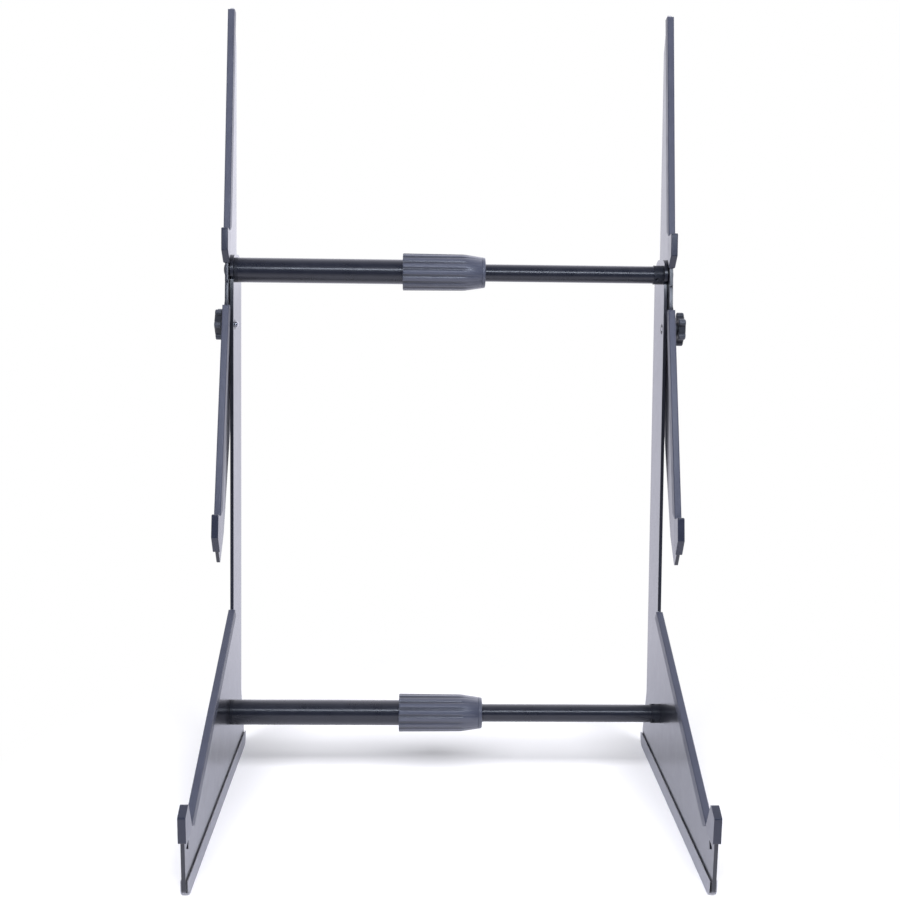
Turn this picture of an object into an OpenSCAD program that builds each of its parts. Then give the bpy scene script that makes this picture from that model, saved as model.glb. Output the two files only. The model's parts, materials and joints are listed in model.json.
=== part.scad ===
// Three-tier desktop studio stand: two sheet-metal sides joined by two telescopic cross tubes.
// All sizes are millimetres. X runs across the stand, +Y to the back, +Z up.
// Side views are drawn with depth measured back from the front edge of the side plates.

/* [Width] */
// Clear width between the inner faces of the two side plates
inner_width = 384; // [310:1:430]

/* [Side plate] */
// Sheet thickness of side plates and tier brackets
sheet = 3; // [2:0.5:4]
// Depth of the side plate along the floor
foot_depth = 274; // [255:1:300]
// Width of the upright, square to its edges
upright_width = 44; // [38:1:52]
// Backward lean of the upright
upright_lean = 6.2; // [4:0.1:8]
// Height of the upper tube axis
upper_tube_height = 449.5; // [400:0.5:480]
// Distance of the upper tube axis behind the front edge of the upright
upper_tube_inset = 11.3; // [9:0.1:16]
// Radius of the rounded head around the upper tube axis
head_radius = 13.5; // [12.5:0.5:15]
// Radius of the rounded rear corner of the upright head
head_rear_radius = 16; // [8:1:20]
// Height of the lower tube axis
lower_tube_height = 60; // [45:1:70]
// Depth of the lower tube axis behind the front edge of the side plate
lower_tube_depth = 204; // [150:1:225]
// Height at which the rear edge starts to flare out to the foot
flare_height = 58; // [45:1:80]
// Size of the small relief notch below the rounded head
neck_relief = 2.6; // [1:0.1:3]
// Length of the slanted stretch of the front edge below the notch
neck_slant = 16; // [8:1:24]

/* [Base shelf] */
// Slope of the base shelf from horizontal
base_slope = 25.85; // [20:0.05:32]
// Depth of the back face of the base lip where it meets the shelf
base_lip_depth = 20.5; // [16:0.5:26]
// Height of the base shelf surface at the back face of the lip
base_lip_height = 47.8; // [40:0.2:60]
// Length of the base shelf, from the lip to the upright
base_shelf_length = 230; // [200:1:245]
// Height of the base lip above the shelf
base_lip_rise = 24; // [15:0.5:30]
// Height at which the front of the base lip cap ends
base_cap_bottom = 43.5; // [34:0.5:46]

/* [Tier brackets] */
// Backward lean of the middle shelf
middle_lean = 19.3; // [15:0.1:24]
// Backward lean of the top shelf
top_lean = 13.1; // [8:0.1:16]
// How far the lower end of the middle shelf lies ahead of the upper tube axis
middle_shelf_ahead = 87.8; // [80:0.2:96]
// How far the lower end of the middle shelf lies below the upper tube axis
middle_shelf_below = 205.8; // [195:0.2:220]
// Length of the middle shelf
middle_shelf_length = 187; // [160:1:190]
// How far the lower end of the top shelf lies ahead of the upper tube axis
top_shelf_ahead = 13; // [8:0.1:17]
// How far the lower end of the top shelf lies above the upper tube axis
top_shelf_above = 34.6; // [32:0.1:50]
// Length of the top shelf
top_shelf_length = 200.8; // [170:0.2:220]
// How far the lips of the two upper shelves stand out
tier_lip_reach = 11.3; // [8:0.1:16]
// How much nearer to the shelf the two upper lips end
tier_lip_taper = 2.2; // [0:0.1:3]
// Length of the front face of the two upper lips, along their shelves
tier_lip_length = 20; // [16:0.5:23]
// Length of the slanted lower face of the middle lip, along its shelf
middle_lip_heel = 11; // [7:0.5:13]
// Length of the slanted lower face of the top lip, along its shelf
top_lip_heel = 8.7; // [6:0.1:12]
// Gap between the side plate and the tier bracket
bracket_gap = 0.5; // [0.4:0.1:1]
// Width of the top arm near its tip
tip_width = 17; // [12:0.5:24]
// How far the tier brackets can swing
bracket_travel = 24; // [12:1:26]

/* [Edge trim] */
// Wall thickness of the rubber trims, lip caps and foot channels
trim_wall = 1.5; // [1:0.1:2]
// Depth of the trims over the sheet edge, with their outer wall
trim_depth = 9; // [6:0.2:9.4]
// Rounding of the outer edges of the trims
trim_round = 1.2; // [0.4:0.1:1.4]
// Height of the foot channel
channel_height = 12.5; // [12:0.5:18]
// Thickness of the foot channel under the sheet
channel_base = 2.5; // [1.5:0.1:4]
// Distance of the foot channel behind the front edge of the sheet
channel_setback = 3; // [1:0.5:6]
// Rounding of the rear end of the foot channel
channel_rear_radius = 10; // [4:0.5:11]

/* [Cross tubes] */
// Outside diameter of the outer tubes
outer_tube_d = 22; // [20:0.5:23]
// Outside diameter of the inner tubes
inner_tube_d = 15.5; // [13:0.5:16]
// Wall thickness of the outer tubes
outer_tube_wall = 1.5; // [1:0.1:2]
// Wall thickness of the inner tubes
inner_tube_wall = 1.2; // [1:0.1:1.5]
// Length of the outer tubes
outer_tube_length = 177; // [150:1:180]
// Length of the inner tubes
inner_tube_length = 284; // [255:1:300]
// Length of the plug flange at the end of an outer tube
outer_plug_flange = 3; // [2:0.5:5]
// Length of the swaged end ring of an inner tube
inner_ring_length = 8; // [5:0.5:10]
// Outside diameter of the swaged end ring
inner_ring_d = 17; // [16.5:0.1:18]
// Depth that a plug reaches into its tube
plug_depth = 12; // [8:0.5:14]
// Length of the guide bush at the hidden end of an inner tube
guide_length = 12; // [8:1:16]

/* [Twist collars] */
// Length of a twist collar
collar_length = 74; // [66:1:80]
// Outside diameter of the ribbed body
collar_d = 33; // [30:0.5:36]
// Outside diameter of the nose at its end
collar_nose_d = 26.5; // [24:0.5:29]
// Length of the tapered nose
collar_nose_length = 16; // [12:0.5:20]
// How far the collar reaches over the outer tube
collar_overlap = 30; // [22:1:33]
// Number of flutes round the collar
flute_count = 16; // [10:1:20]
// Depth of the flutes
flute_depth = 1.2; // [0.8:0.1:1.6]
// Radius of the flutes
flute_radius = 2.6; // [2:0.1:3]
// Length of the clutch cone beyond the outer tube
clutch_cone_length = 30; // [20:1:31]
// Width of the slit in the clutch
clutch_slit = 2; // [1:0.2:3]

/* [Clamp knobs] */
// Radius on which the clamp stud lies below the pivot
stud_radius = 49; // [42:0.5:54]
// Forward angle of the clamp stud from straight down
stud_angle = 10.6; // [8:0.1:14]
// Diameter of the clamp stud
stud_d = 4.8; // [4:0.2:6]
// How far the stud tip shows inside the upright
stud_tip = 3.1; // [1:0.1:6]
// Outside diameter over the lobes of the knob
knob_d = 30; // [27:0.5:34]
// Thickness of the lobed rim of the knob
knob_rim = 6.2; // [4.6:0.2:8]
// Height of the dome on the outer face of the knob
knob_dome = 0.9; // [0.6:0.1:2.4]
// Number of lobes
knob_lobes = 6; // [5:1:8]
// Radius of one lobe
knob_lobe_radius = 3.2; // [2.6:0.1:4]
// Diameter of the hub between knob and bracket
knob_hub_d = 12; // [9:0.5:14]
// Length of the hub
knob_hub_length = 2.2; // [1.6:0.1:5]
// How far the left knob is unscrewed from its washer
left_knob_unscrewed = 0; // [0:0.1:3.5]
// How far the right knob is unscrewed from its washer
right_knob_unscrewed = 3.1; // [0:0.1:3.5]

/* [Fasteners] */
// Diameter of the shoulder that the tier bracket turns on
shoulder_d = 8; // [7:0.5:10]
// Diameter of the bolt threads
bolt_d = 6; // [5:0.5:6]
// Diameter of the bolt heads
bolt_head_d = 11.4; // [10:0.2:13]
// Height of the bolt heads
bolt_head_height = 2.5; // [2:0.1:3.5]
// Size of the hexagon key for the bolts
hex_key = 4; // [3:0.5:5]
// Outside diameter of the steel washers
washer_d = 13; // [12:0.5:16]
// Thickness of the steel washers
washer_thickness = 1; // [0.6:0.1:1.6]
// Outside diameter of the clinch nut for the clamp stud
nut_d = 9; // [8:0.5:11]

/* [Fits] */
// Radial running clearance of sliding and turning pieces
running_fit = 0.06; // [0.03:0.01:0.1]
// Radial clearance of threads and fixed pins
thread_fit = 0.05; // [0.02:0.01:0.1]
// Clearance of the trims on the sheet
grip_fit = 0.02; // [0.01:0.01:0.05]
// Clearance of free-moving neighbours
free_gap = 0.3; // [0.2:0.05:0.4]
// Axial play of the turning joints
face_play = 0.1; // [0.05:0.01:0.15]

/* [Hidden] */
$fn = 96;
corner_steps = 7;

metal = [0.13, 0.13, 0.15];
rubber = [0.42, 0.45, 0.52];
plastic = [0.25, 0.26, 0.30];
steel = [0.6, 0.6, 0.62];

// Places across the stand, measured outwards from the middle
plate_in = inner_width / 2;
plate_out = plate_in + sheet;
bracket_in = plate_out + bracket_gap;
bracket_out = bracket_in + sheet;
pivot_seat = bracket_out + face_play;
bolt_head_seat = pivot_seat + washer_thickness;
lower_head_seat = plate_out + washer_thickness;
knob_seat = bolt_head_seat;
knob_in = knob_seat + knob_hub_length;
stud_end = knob_in + knob_rim - 2;

// How far the lobes of each knob are turned at rest
left_knob_turn = 30;
right_knob_turn = -2.6;

// A shelf is [depth, height, rise of its surface from horizontal, length of the lower face of its lip]
base_shelf = [base_lip_depth, base_lip_height, base_slope];

// Point at a distance along a shelf and a distance out from its surface
function at(shelf, along, out) = [
  shelf[0] + along * cos(shelf[2]) - out * sin(shelf[2]),
  shelf[1] + along * sin(shelf[2]) + out * cos(shelf[2])
];

// Upright edges as depth at a height
upright_foot = at(base_shelf, base_shelf_length, -trim_wall);
function front_edge(height) = upright_foot[0] + (height - upright_foot[1]) * tan(upright_lean);
function rear_edge(height) = front_edge(height) + upright_width / cos(upright_lean);

upper_tube = [front_edge(upper_tube_height) + upper_tube_inset, upper_tube_height];
middle_shelf = [upper_tube[0] - middle_shelf_ahead, upper_tube[1] - middle_shelf_below, 90 - middle_lean, middle_lip_heel];
top_shelf = [upper_tube[0] - top_shelf_ahead, upper_tube[1] + top_shelf_above, 90 - top_lean, top_lip_heel];
lower_tube = [lower_tube_depth, lower_tube_height];
lip_corner = at(base_shelf, -trim_wall, base_lip_rise - trim_wall);
base_lip_front_height = lip_corner[1] - lip_corner[0] * tan(base_slope);
stud = upper_tube + stud_radius * [-sin(stud_angle), -cos(stud_angle)];
head_top = upper_tube_height + head_radius;

// Rounding of sheet corners
lip_round = 1.5;
fold_round = 1.2;
foot_front_round = 5;
foot_rear_round = 7;
foot_top_round = 4;
flare_round = 18;

// Shadow groove between the sheet and the outer lips of the foot channel
groove_width = 0.8;
groove_depth = 1.5;

// Corners of the relief opening below the base lip
lip_relief = [
  [base_lip_depth - 6.5, base_cap_bottom - 4, 0.6],
  [base_lip_depth - 8, base_cap_bottom - 11, 0.6],
  [base_lip_depth - 15.5, base_cap_bottom - 6.8, 0.6]
];

// Small crease across the front edge of the tier bracket, below its pivot
crease_drop = 10;
crease_depth = 0.8;
crease_half = 0.6;

// Depth below the tube axis at which the rounded head meets the relief notch
neck_drop = 5.4;
neck_angle = 180 + asin(neck_drop / head_radius);
neck_top = upper_tube_height - neck_drop;

// Outline of the tier bracket: the top arm, the sheet behind the slot and the pointed lower end
arm_widening = 7;
arm_taper_length = 25;
arm_tip_flat = [7, 2.6];
arm_tip = at(top_shelf, top_shelf_length, -trim_wall);
arm_shoulder = at(top_shelf, top_shelf_length - arm_taper_length, -tip_width - arm_widening);
slot_reach = stud_d / 2 + free_gap;
slot_end = upper_tube + stud_radius * [sin(bracket_travel - stud_angle), -cos(bracket_travel - stud_angle)];
bracket_margin = 11;
bracket_rear = slot_end[0] + slot_reach + bracket_margin;
elbow = [bracket_rear + 5, top_shelf[1] - 14];
elbow_round = 30;
belly_round = 22;
heel = at(middle_shelf, -12, -27);
heel_round = 8;
lower_point = at(middle_shelf, -tier_lip_length - 20, -15);
lower_point_round = 2;
shoulder_step = [2.6, 3.2];

// Depth of the middle of the whole outline, so that the model stands centred on its origin
outline_front = -trim_wall;
outline_rear = arm_shoulder[0];
centre_depth = (outline_front + outline_rear) / 2;

// Tube and collar places along X
outer_tube_start = -plate_in + outer_plug_flange;
outer_tube_end = outer_tube_start + outer_tube_length;
inner_tube_end = plate_in - inner_ring_length;
inner_tube_start = inner_tube_end - inner_tube_length;
collar_start = outer_tube_end - collar_overlap;
collar_end = collar_start + collar_length;
outer_tube_bore = outer_tube_d / 2 - outer_tube_wall;
inner_tube_bore = inner_tube_d / 2 - inner_tube_wall;
clutch_bore = inner_tube_d / 2 + running_fit;
clutch_spigot = 18;
clutch_rim = 2;
clutch_small_r = inner_tube_d / 2 + 1.6;
clutch_large_r = outer_tube_d / 2 - 0.2;

// Rounded outline: each entry is [depth, height, corner radius]
function unit(v) = v / norm(v);
function corner(before, point, after, radius) =
  let (
    a = unit(before - point),
    b = unit(after - point),
    half = acos(max(-1, min(1, a * b))) / 2,
    reach = radius / tan(half),
    middle = point + unit(a + b) * radius / sin(half),
    start = point + a * reach - middle,
    turn = (a[0] * b[1] - a[1] * b[0]) > 0 ? -1 : 1,
    sweep = 180 - 2 * half
  )
  [for (i = [0:corner_steps])
    let (angle = turn * sweep * i / corner_steps)
    middle + [start[0] * cos(angle) - start[1] * sin(angle), start[0] * sin(angle) + start[1] * cos(angle)]];
function rounded(corners) =
  let (count = len(corners))
  [for (i = [0:count - 1])
    let (
      before = corners[(i + count - 1) % count],
      here = corners[i],
      after = corners[(i + 1) % count]
    )
    each (here[2] == 0
      ? [[here[0], here[1]]]
      : corner([before[0], before[1]], [here[0], here[1]], [after[0], after[1]], here[2]))];
function with_radius(point, radius) = [point[0], point[1], radius];

// Turns a side view into a sheet on the left or right: from_x to to_x are distances from the middle
module sheet_of(from_x, to_x) {
  translate([from_x, -centre_depth, 0])
    rotate([90, 0, 90])
      linear_extrude(to_x - from_x)
        children();
}

module side(name) {
  if (name == "left") mirror([1, 0, 0]) children();
  else children();
}

// Puts a piece that is drawn along +Z on an axis across the stand, starting at x
module across(x, point) {
  translate([x, point[0] - centre_depth, point[1]])
    rotate([0, 90, 0])
      children();
}

module disc(radius, from_x, to_x, point) {
  across(from_x, point) cylinder(r = radius, h = to_x - from_x);
}

// Side sheet: foot, shelf edge, upright and a head that is rounded about the upper tube
module side_outline() {
  bottom = channel_base;
  neck_bottom = neck_top - neck_relief;
  neck_front = front_edge(neck_bottom) + neck_relief / 2;
  slant_bottom = neck_bottom - neck_slant;
  head = [for (i = [0:corner_steps * 2])
    let (angle = neck_angle + (90 - neck_angle) * i / (corner_steps * 2))
    with_radius(upper_tube + head_radius * [cos(angle), sin(angle)], 0)];
  difference() {
    polygon(rounded(concat(
      [
        [0, bottom, foot_front_round],
        [0, base_lip_front_height, lip_round],
        with_radius(at(base_shelf, -trim_wall, base_lip_rise - trim_wall), lip_round),
        with_radius(at(base_shelf, -trim_wall, -trim_wall), fold_round),
        with_radius(upright_foot, foot_top_round),
        [front_edge(slant_bottom), slant_bottom, 0],
        [neck_front, neck_bottom, 0],
        [neck_front + neck_relief, neck_bottom, 0],
        [neck_front + neck_relief, neck_top, 0]
      ],
      head,
      [
        [rear_edge(head_top), head_top, head_rear_radius],
        [rear_edge(flare_height), flare_height, flare_round],
        [foot_depth, channel_height + sheet, foot_top_round],
        [foot_depth, bottom, foot_rear_round]
      ]
    )));
    translate(upper_tube) circle(r = bolt_d / 2 + thread_fit);
    translate(lower_tube) circle(r = bolt_d / 2 + thread_fit);
    translate(stud) circle(r = nut_d / 2 + grip_fit);
    polygon(rounded(lip_relief));
  }
}

module side_plate() {
  color(metal) sheet_of(plate_in, plate_out) side_outline();
}

module channel_outline() {
  rear = foot_depth + trim_wall;
  edge_round = 1;
  polygon(rounded([
    [channel_setback, 0, foot_front_round],
    [channel_setback, channel_height, edge_round],
    [rear, channel_height, edge_round],
    [rear, 0, channel_rear_radius]
  ]));
}

// Rubber channel under the foot: its slot for the sheet widens to a groove along the front and the top
module foot_channel() {
  beyond = 1;
  color(rubber) difference() {
    sheet_of(plate_in - trim_wall, plate_out + trim_wall) channel_outline();
    sheet_of(plate_in - grip_fit, plate_out + grip_fit) side_outline();
    sheet_of(plate_in - groove_width, plate_out + groove_width) polygon([
      [channel_setback - beyond, channel_base],
      [channel_setback + groove_depth, channel_base],
      [channel_setback + groove_depth, channel_height - groove_depth],
      [foot_depth + trim_wall + beyond, channel_height - groove_depth],
      [foot_depth + trim_wall + beyond, channel_height + beyond],
      [channel_setback - beyond, channel_height + beyond]
    ]);
  }
}

module trim_section() {
  half = sheet / 2 + trim_wall;
  difference() {
    union() {
      translate([-half, trim_round]) square([2 * half, trim_depth - trim_round]);
      translate([-half + trim_round, 0]) square([2 * (half - trim_round), trim_depth]);
      for (side_sign = [-1, 1])
        translate([side_sign * (half - trim_round), trim_round]) circle(r = trim_round);
    }
    translate([-sheet / 2 - grip_fit, trim_wall - grip_fit])
      square([sheet + 2 * grip_fit, trim_depth]);
  }
}

// U-trim along a shelf, its lower end cut back on a slant below the surface
module shelf_trim(shelf, middle_x, length, end_round) {
  slant = 35;
  beyond = 1;
  deep = trim_depth + beyond;
  width = sheet + 2 * trim_wall + 2 * beyond;
  color(rubber)
    translate([middle_x, shelf[0] - centre_depth, shelf[1]])
      rotate([shelf[2] - 90, 0, 0])
        difference() {
          translate([0, 0, free_gap])
            linear_extrude(length - free_gap) trim_section();
          translate([-width / 2, 0, 0])
            rotate([90, 0, 90])
              linear_extrude(width) {
                polygon([
                  [trim_wall, 0],
                  [trim_wall, free_gap],
                  [deep, free_gap + (deep - trim_wall) * tan(slant)],
                  [deep, 0]
                ]);
                difference() {
                  translate([-beyond, length - end_round]) square(end_round + beyond);
                  translate([end_round, length - end_round]) circle(r = end_round);
                }
              }
        }
}

module base_trim() {
  shelf_trim(base_shelf, plate_in + sheet / 2, base_shelf_length, 1.5);
}

module middle_trim() {
  shelf_trim(middle_shelf, bracket_in + sheet / 2, middle_shelf_length, 3);
}

module top_trim() {
  shelf_trim(top_shelf, bracket_in + sheet / 2, top_shelf_length, 2);
}

module base_cap_outline() {
  front = -trim_wall;
  tuck = 5;
  front_rise = 0.9;
  edge_round = 1.8;
  polygon(rounded([
    [front, base_cap_bottom, fold_round],
    [front, base_lip_front_height + front_rise, edge_round],
    with_radius(at(base_shelf, 0, base_lip_rise), edge_round),
    with_radius(at(base_shelf, 0, 0), 0),
    [base_lip_depth - tuck, base_cap_bottom, fold_round]
  ]));
}

module base_lip_cap() {
  color(rubber) difference() {
    sheet_of(plate_in - trim_wall, plate_out + trim_wall) base_cap_outline();
    sheet_of(plate_in - grip_fit, plate_out + grip_fit) side_outline();
  }
}

module tier_cap_outline(shelf) {
  tuck = 6;
  heel_in = 2;
  heel_end = -tier_lip_length - shelf[3];
  edge_round = 1.6;
  polygon(rounded([
    with_radius(at(shelf, 0, -tuck), 0),
    with_radius(at(shelf, 0, tier_lip_reach), edge_round),
    with_radius(at(shelf, -tier_lip_length, tier_lip_reach - tier_lip_taper), edge_round),
    with_radius(at(shelf, heel_end, -heel_in), 0),
    with_radius(at(shelf, heel_end + 2 * (tuck - heel_in), -tuck), 0)
  ]));
}

module tier_lip_cap(shelf) {
  color(rubber) difference() {
    sheet_of(bracket_in - trim_wall, bracket_out + trim_wall) tier_cap_outline(shelf);
    sheet_of(bracket_in - grip_fit, bracket_out + grip_fit) bracket_outline();
  }
}

// Corners of the sheet hook under a lip cap, from the shelf outwards and down
function hook(shelf) = [
  with_radius(at(shelf, -trim_wall, -trim_wall), 0),
  with_radius(at(shelf, -trim_wall, tier_lip_reach - trim_wall), 1),
  with_radius(at(shelf, trim_wall - tier_lip_length, tier_lip_reach - tier_lip_taper - trim_wall), 1)
];

module bracket_outline() {
  middle_hook = hook(middle_shelf);
  top_hook = hook(top_shelf);
  middle_end = at(middle_shelf, middle_shelf_length, -trim_wall);
  top_start = at(top_shelf, -tier_lip_length - top_lip_heel, -3);
  edge_start = middle_end + shoulder_step;
  crease = edge_start + (top_start - edge_start)
    * (upper_tube_height - crease_drop - edge_start[1]) / (top_start[1] - edge_start[1]);
  polygon(rounded([
    with_radius(lower_point, lower_point_round),
    middle_hook[2],
    middle_hook[1],
    middle_hook[0],
    with_radius(middle_end, 0),
    with_radius(edge_start, 0),
    with_radius(crease - [0, crease_half], 0),
    with_radius(crease + [crease_depth, 0], 0),
    with_radius(crease + [0, crease_half], 0),
    with_radius(top_start, 0),
    top_hook[2],
    top_hook[1],
    top_hook[0],
    with_radius(arm_tip, lip_round),
    with_radius(arm_tip + arm_tip_flat, lip_round),
    with_radius(arm_shoulder, 0),
    with_radius(elbow, elbow_round),
    [bracket_rear, slot_end[1], belly_round],
    with_radius(heel, heel_round)
  ]));
}

// Slot about the pivot that the clamp stud passes through
module arc_slot() {
  span = bracket_travel;
  start = -90 - stud_angle;
  translate(upper_tube) {
    intersection() {
      difference() {
        circle(r = stud_radius + slot_reach);
        circle(r = stud_radius - slot_reach);
      }
      polygon([
        [0, 0],
        2 * stud_radius * [cos(start), sin(start)],
        2 * stud_radius * [cos(start + span), sin(start + span)]
      ]);
    }
    for (angle = [start, start + span])
      translate(stud_radius * [cos(angle), sin(angle)]) circle(r = slot_reach);
  }
}

module bracket_plate() {
  color(metal) sheet_of(bracket_in, bracket_out) difference() {
    bracket_outline();
    translate(upper_tube) circle(r = shoulder_d / 2 + running_fit);
    arc_slot();
  }
}

module button_head(radius, height) {
  edge = 0.6;
  steps = 6;
  crown_angle = 75;
  rotate_extrude()
    polygon(concat(
      [[0, 0], [radius, 0], [radius, edge]],
      [for (i = [0:steps])
        let (angle = crown_angle * i / steps)
        [radius * cos(angle), edge + (height - edge) * sin(angle) / sin(crown_angle)]],
      [[0, height]]
    ));
}

module washer(outer_d, bore_d, thickness) {
  difference() {
    cylinder(d = outer_d, h = thickness);
    translate([0, 0, -1]) cylinder(d = bore_d, h = thickness + 2);
  }
}

module hex_recess(seat, point) {
  recess = 1.4;
  across(seat + bolt_head_height - recess, point)
    cylinder(d = hex_key * 2 / sqrt(3), h = bolt_head_height, $fn = 6);
}

module pivot_bolt() {
  color(steel) difference() {
    union() {
      disc(bolt_d / 2, plate_in - plug_depth, plate_out, upper_tube);
      disc(shoulder_d / 2, plate_out, bolt_head_seat, upper_tube);
      across(bolt_head_seat, upper_tube) button_head(bolt_head_d / 2, bolt_head_height);
    }
    hex_recess(bolt_head_seat, upper_tube);
  }
}

module lower_bolt() {
  color(steel) difference() {
    union() {
      disc(bolt_d / 2, plate_in - plug_depth, lower_head_seat, lower_tube);
      across(lower_head_seat, lower_tube) button_head(bolt_head_d / 2, bolt_head_height);
    }
    hex_recess(lower_head_seat, lower_tube);
  }
}

module friction_washer() {
  color(plastic)
    across(plate_out, upper_tube)
      washer(washer_d + 4, shoulder_d + 2 * thread_fit, bracket_gap - face_play);
}

module pivot_washer() {
  color(steel)
    across(pivot_seat, upper_tube)
      washer(washer_d, shoulder_d + 2 * thread_fit, washer_thickness);
}

module lower_washer() {
  color(steel)
    across(plate_out, lower_tube)
      washer(washer_d, bolt_d + 2 * thread_fit, washer_thickness);
}

module stud_nut() {
  color(steel)
    across(plate_in, stud)
      washer(nut_d, stud_d + 2 * running_fit, sheet);
}

module tube(outer, bore, from_x, to_x, point) {
  across(from_x, point) difference() {
    cylinder(r = outer, h = to_x - from_x);
    translate([0, 0, -1]) cylinder(r = bore, h = to_x - from_x + 2);
  }
}

module outer_tube(point) {
  color(metal) tube(outer_tube_d / 2, outer_tube_bore, outer_tube_start, outer_tube_end, point);
}

module inner_tube(point) {
  color(metal) tube(inner_tube_d / 2, inner_tube_bore, inner_tube_start, inner_tube_end, point);
}

module outer_plug(point) {
  tube(outer_tube_d / 2, bolt_d / 2 + thread_fit, -plate_in, outer_tube_start, point);
  tube(outer_tube_bore - grip_fit, bolt_d / 2 + thread_fit, outer_tube_start, outer_tube_start + plug_depth, point);
}

module left_tube_plugs() {
  color(plastic) {
    outer_plug(upper_tube);
    outer_plug(lower_tube);
  }
}

// End ring with three small crimps where it grips the inner tube
module inner_plug(point) {
  crimp_radius = 1.8;
  crimp_depth = 1.2;
  crimp_place = 2.5;
  difference() {
    union() {
      tube(inner_ring_d / 2, bolt_d / 2 + thread_fit, inner_tube_end, plate_in, point);
      tube(inner_tube_bore - grip_fit, bolt_d / 2 + thread_fit, inner_tube_end - plug_depth, inner_tube_end, point);
    }
    for (turn = [0, 120, 240])
      translate([inner_tube_end + crimp_place, point[0] - centre_depth, point[1]])
        rotate([turn, 0, 0])
          translate([0, 0, inner_ring_d / 2 + crimp_radius - crimp_depth])
            sphere(r = crimp_radius);
  }
}

module right_tube_plugs() {
  color(plastic) {
    inner_plug(upper_tube);
    inner_plug(lower_tube);
  }
}

// Guide bush that steadies the hidden end of an inner tube inside the outer tube
module guide(point) {
  rim = 2;
  tube(outer_tube_bore - running_fit, inner_tube_bore, inner_tube_start - rim, inner_tube_start, point);
  tube(outer_tube_bore - running_fit, inner_tube_d / 2 + grip_fit,
    inner_tube_start, inner_tube_start + guide_length - rim, point);
}

module inner_tube_guides() {
  color(plastic) {
    guide(upper_tube);
    guide(lower_tube);
  }
}

// Split clutch: a spigot in the outer tube and a cone that the collar squeezes on the inner tube
module clutch(point) {
  spigot_r = outer_tube_bore - grip_fit;
  across(outer_tube_end - clutch_spigot, point) difference() {
    rotate_extrude() polygon([
      [clutch_bore, 0],
      [spigot_r, 0],
      [spigot_r, clutch_spigot],
      [clutch_large_r, clutch_spigot],
      [clutch_large_r, clutch_spigot + clutch_rim],
      [clutch_small_r, clutch_spigot + clutch_cone_length],
      [clutch_bore, clutch_spigot + clutch_cone_length]
    ]);
    translate([0, -clutch_slit / 2, clutch_spigot + clutch_rim + 1])
      cube([outer_tube_d, clutch_slit, clutch_cone_length]);
  }
}

module tube_clutches() {
  color(plastic) {
    clutch(upper_tube);
    clutch(lower_tube);
  }
}

// Bored out over the outer tube, coned over the clutch and narrow over the inner tube
module collar_profile() {
  body_end = collar_length - collar_nose_length;
  grip_r = collar_d / 2;
  nose_r = collar_nose_d / 2;
  chamfer = 1.2;
  nose_edge = [0.9, 2.2];
  barrel = 0.6;
  cone_start = outer_tube_end - collar_start;
  cone_end = cone_start + clutch_cone_length + free_gap;
  polygon([
    [outer_tube_d / 2 + running_fit, 0],
    [grip_r - barrel - chamfer / 2, 0],
    [grip_r - barrel, chamfer / 2],
    [grip_r - barrel / 3, body_end / 4],
    [grip_r, body_end / 2],
    [grip_r - barrel / 3, body_end * 0.8],
    [grip_r - barrel, body_end],
    [nose_r + nose_edge[0], collar_length - nose_edge[1]],
    [nose_r, collar_length - nose_edge[0]],
    [nose_r - chamfer, collar_length],
    [inner_tube_d / 2 + free_gap, collar_length],
    [inner_tube_d / 2 + free_gap, cone_end],
    [clutch_small_r + free_gap, cone_end],
    [clutch_large_r + free_gap, cone_start + clutch_rim],
    [clutch_large_r + free_gap, cone_start],
    [outer_tube_d / 2 + running_fit, cone_start]
  ]);
}

// Ribbed body: the straight flutes run out on the tapered nose
module collar(point) {
  beyond = 1;
  flute_axis = collar_d / 2 - flute_depth + flute_radius;
  color(plastic) across(collar_start, point) difference() {
    rotate_extrude() collar_profile();
    translate([0, 0, -beyond])
      linear_extrude(collar_length + 2 * beyond)
        for (i = [0:flute_count - 1])
          rotate((i + 0.5) * 360 / flute_count)
            translate([flute_axis, 0]) circle(r = flute_radius);
  }
}

module knob_outline(turn) {
  lobe_ring = knob_d / 2 - knob_lobe_radius;
  circle(r = lobe_ring - knob_lobe_radius / 4);
  for (i = [0:knob_lobes - 1])
    rotate(i * 360 / knob_lobes + turn)
      translate([lobe_ring, 0]) circle(r = knob_lobe_radius);
}

// Lobed knob with a shallow domed face on a round hub, bored blind for the stud
module clamp_knob(unscrewed, turn) {
  bevel = 0.7;
  edge = knob_d / 2;
  dome_edge = edge - knob_lobe_radius;
  dome_middle = edge / 2;
  color(plastic) translate([unscrewed, 0, 0]) difference() {
    union() {
      across(knob_in, stud) intersection() {
        linear_extrude(knob_rim + knob_dome) knob_outline(turn);
        rotate_extrude() polygon([
          [0, 0],
          [edge - bevel, 0],
          [edge, bevel],
          [edge, knob_rim - bevel],
          [edge - bevel, knob_rim],
          [dome_edge, knob_rim],
          [dome_middle, knob_rim + knob_dome * 0.8],
          [dome_middle / 2, knob_rim + knob_dome],
          [0, knob_rim + knob_dome]
        ]);
      }
      disc(knob_hub_d / 2, knob_seat, knob_in, stud);
    }
    disc(stud_d / 2 + thread_fit, knob_seat - 1, stud_end, stud);
  }
}

module knob_stud(unscrewed) {
  tip_chamfer = 0.7;
  start = plate_in - stud_tip;
  color(steel) across(start + unscrewed, stud) rotate_extrude() polygon([
    [0, 0],
    [stud_d / 2 - tip_chamfer, 0],
    [stud_d / 2, tip_chamfer],
    [stud_d / 2, stud_end - start],
    [0, stud_end - start]
  ]);
}

module knob_washer() {
  color(steel)
    across(pivot_seat, stud)
      washer(washer_d + 1, stud_d + 2 * thread_fit, washer_thickness);
}

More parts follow.
